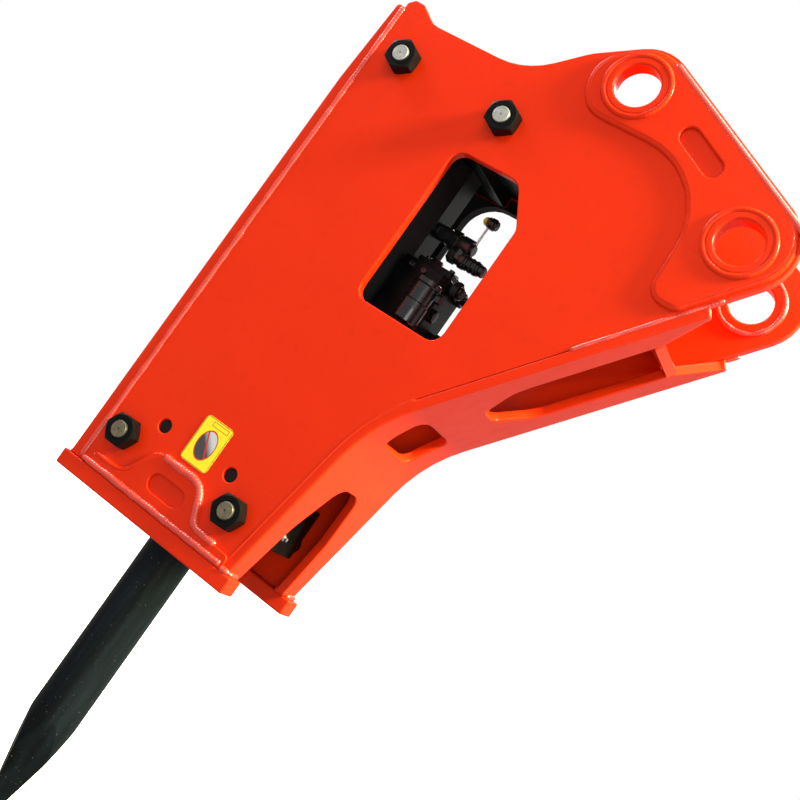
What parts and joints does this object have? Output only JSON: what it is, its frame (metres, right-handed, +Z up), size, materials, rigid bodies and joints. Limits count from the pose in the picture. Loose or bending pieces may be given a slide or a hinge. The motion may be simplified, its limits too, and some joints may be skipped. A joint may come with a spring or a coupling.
{
  "type": "hydraulic breaker hammer",
  "caption": "Side-type hydraulic breaker for an excavator: welded side-plate bracket with two pin bores, black power cell on through studs, and a sliding moil point chisel.",
  "frame": {"origin": "centre of the arm pin bores, midway between the side plates", "axes": "+Z up along the tool axis away from the chisel point, +X from the tool towards the pin bracket, +Y along the pins"},
  "size_m": [0.9642, 0.3786, 1.9054],
  "materials": {
    "red_paint": "orange-red gloss enamel on welded steel plate",
    "cell_paint": "semi-gloss black on forged steel",
    "tool_steel": "quenched and oiled black forging",
    "nut_steel": "black oxide",
    "stud_steel": "turned steel",
    "black_steel": "black oxide, oily",
    "bright_steel": "ground",
    "bush_bronze": "machined bronze",
    "rubber": "matt",
    "label_film": "printed vinyl film"
  },
  "bodies": {
    "housing": {"side_plate_left": "red_paint", "side_plate_right": "red_paint", "front_plate": "red_paint", "rear_web": "red_paint", "cross_plate": "red_paint", "top_plate": "red_paint", "bottom_bar_left": "red_paint", "bottom_bar_right": "red_paint", "bracket_doubler_left": "red_paint", "bracket_doubler_right": "red_paint", "foot_doubler_left": "red_paint", "foot_doubler_right": "red_paint", "arm_pin_boss_left": "red_paint", "arm_pin_boss_right": "red_paint", "link_pin_boss_left": "red_paint", "link_pin_boss_right": "red_paint", "side_stud_lower_front": "stud_steel", "side_stud_lower_rear": "stud_steel", "side_stud_upper_front": "stud_steel", "side_stud_upper_rear": "stud_steel", "side_nut_lower_front_left": "nut_steel", "side_nut_lower_front_right": "nut_steel", "side_nut_lower_rear_left": "nut_steel", "side_nut_lower_rear_right": "nut_steel", "side_nut_upper_front_left": "nut_steel", "side_nut_upper_front_right": "nut_steel", "side_nut_upper_rear_left": "nut_steel", "side_nut_upper_rear_right": "nut_steel", "label_left": "label_film", "label_right": "label_film", "front_head": "cell_paint", "cylinder": "cell_paint", "back_head": "cell_paint", "valve_block": "cell_paint", "thrust_ring": "black_steel", "valve_cap": "black_steel", "outlet_adapter": "black_steel", "inlet_adapter": "black_steel", "tie_rod_1": "black_steel", "tie_rod_2": "black_steel", "tie_rod_3": "black_steel", "tie_rod_4": "black_steel", "tie_rod_nut_1": "black_steel", "tie_rod_nut_2": "black_steel", "tie_rod_nut_3": "black_steel", "tie_rod_nut_4": "black_steel", "gas_valve": "bright_steel", "grease_nipple": "bright_steel", "retaining_pin_front": "bright_steel", "retaining_pin_rear": "bright_steel", "lower_bush": "bush_bronze", "upper_bush": "bush_bronze", "seal_carrier": "bush_bronze", "dust_seal": "rubber", "outlet_cap": "rubber", "inlet_cap": "rubber"},
    "chisel": {"chisel": "tool_steel"},
    "piston": {"piston": "bright_steel"},
    "spool": {"valve_spool": "bright_steel"}
  },
  "joints": [
    {"name": "chisel_slide", "type": "slide", "parent": "housing", "child": "chisel", "axis": [0, 0, 1], "range_m": [0, 0.07]},
    {"name": "piston_slide", "type": "slide", "parent": "housing", "child": "piston", "axis": [0, 0, 1], "range_m": [0, 0.11]},
    {"name": "spool_slide", "type": "slide", "parent": "housing", "child": "spool", "axis": [0, 0, 1], "range_m": [0, 0.02]}
  ]
}
